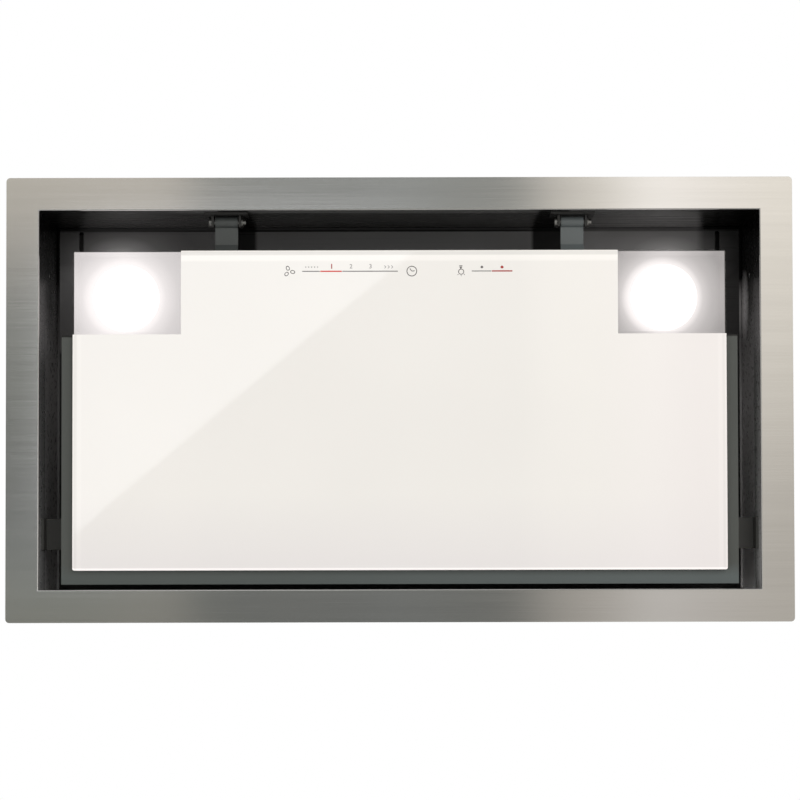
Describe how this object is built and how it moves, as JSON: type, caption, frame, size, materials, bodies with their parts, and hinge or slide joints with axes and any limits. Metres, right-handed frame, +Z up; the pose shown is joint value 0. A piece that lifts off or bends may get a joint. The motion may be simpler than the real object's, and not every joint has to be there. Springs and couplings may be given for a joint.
{
  "type": "ceiling range hood",
  "caption": "Built-in range hood with a stainless rim, a hinged glass panel with lamps and touch control, a grease filter and a blower.",
  "frame": {"origin": "centre of the rim at its upper face, the plane where it meets the ceiling or cabinet", "axes": "+X to the right and +Y to the rear as the cook at the front sees it, +Z up through the casing to the duct"},
  "size_m": [0.5, 0.283, 0.306],
  "materials": {
    "stainless": "fine brushed stainless",
    "casing_steel": "satin grey coated sheet steel",
    "tray_paint": "grey satin paint",
    "zinc": "zinc plated",
    "aluminium": "bare satin",
    "mesh_pad": "knitted wire, loose",
    "white_glass": "glossy, back painted off-white",
    "white_plastic": "satin white moulding",
    "opal_lens": "opal, glossy",
    "black_plastic": "black moulding",
    "grey_plastic": "grey moulding",
    "rubber": "soft black",
    "foam_tape": "adhesive foam",
    "circuit": "green circuit board",
    "motor_steel": "grey coat",
    "magnet": "nickel plated",
    "spring_steel": "spring steel",
    "dark_coat": "black coated sheet steel"
  },
  "bodies": {
    "casing": {"rim_frame": "stainless", "lower_casing": "casing_steel", "ledge_frame": "casing_steel", "upper_casing": "casing_steel", "casing_screws": "zinc", "duct_spigot": "black_plastic", "flap_pin": "zinc", "spigot_screws": "zinc", "scroll_left": "grey_plastic", "scroll_right": "grey_plastic", "motor_body": "motor_steel", "motor_spider": "zinc", "motor_grommets": "rubber", "motor_screws": "zinc", "capacitor": "white_plastic", "capacitor_nut": "black_plastic", "junction_box": "grey_plastic", "junction_cover": "grey_plastic", "cover_screws": "zinc", "power_board": "circuit", "terminal_block": "white_plastic", "cable_gland": "black_plastic", "gland_nut": "black_plastic", "mounting_springs_left": "spring_steel", "mounting_springs_right": "spring_steel", "spring_rivets": "dark_coat", "hinge_bracket_left": "dark_coat", "hinge_bracket_right": "dark_coat", "hinge_pins": "zinc", "hinge_clips": "zinc", "catch_brackets": "dark_coat", "catch_magnets": "magnet", "filter_catches": "zinc", "filter_magnets": "magnet"},
    "panel": {"glass_panel": "white_glass", "bonding_tape": "foam_tape", "panel_tray": "tray_paint", "hinge_arm_left": "zinc", "hinge_arm_right": "zinc", "arm_screws": "zinc", "arm_pads": "foam_tape", "lamp_housing_left": "white_plastic", "lamp_housing_right": "white_plastic", "lamp_lens_left": "opal_lens", "lamp_lens_right": "opal_lens", "led_boards": "circuit", "control_cover": "white_plastic", "control_board": "circuit", "strike_plates": "zinc"},
    "filter": {"filter_frame": "aluminium", "filter_face": "aluminium", "filter_back": "aluminium", "filter_pad": "mesh_pad", "handle_bracket": "zinc"},
    "handle": {"filter_handle": "zinc"},
    "fan": {"impeller": "grey_plastic", "impeller_nut": "zinc", "motor_shaft": "zinc"},
    "flap_front": {"flap_front": "black_plastic"},
    "flap_rear": {"flap_rear": "black_plastic"}
  },
  "joints": [
    {"name": "panel_hinge", "type": "hinge", "parent": "casing", "child": "panel", "pos_m": [0, -0.1151, 0.014], "axis": [-1, 0, 0], "range_deg": [0, 90]},
    {"name": "filter_tilt", "type": "hinge", "parent": "casing", "child": "filter", "pos_m": [0, 0.1068, 0.08], "axis": [1, 0, 0], "range_deg": [0, 9]},
    {"name": "filter_handle_swing", "type": "hinge", "parent": "filter", "child": "handle", "pos_m": [0, -0.08, 0.074], "axis": [1, 0, 0], "range_deg": [-80, 80]},
    {"name": "fan_spin", "type": "hinge", "parent": "casing", "child": "fan", "pos_m": [0, -0.0345, 0.177], "axis": [1, 0, 0], "continuous": true},
    {"name": "flap_front_swing", "type": "hinge", "parent": "casing", "child": "flap_front", "pos_m": [0, 0.015, 0.276], "axis": [-1, 0, 0], "range_deg": [0, 75]},
    {"name": "flap_rear_swing", "type": "hinge", "parent": "casing", "child": "flap_rear", "pos_m": [0, 0.015, 0.276], "axis": [1, 0, 0], "range_deg": [0, 75]}
  ]
}
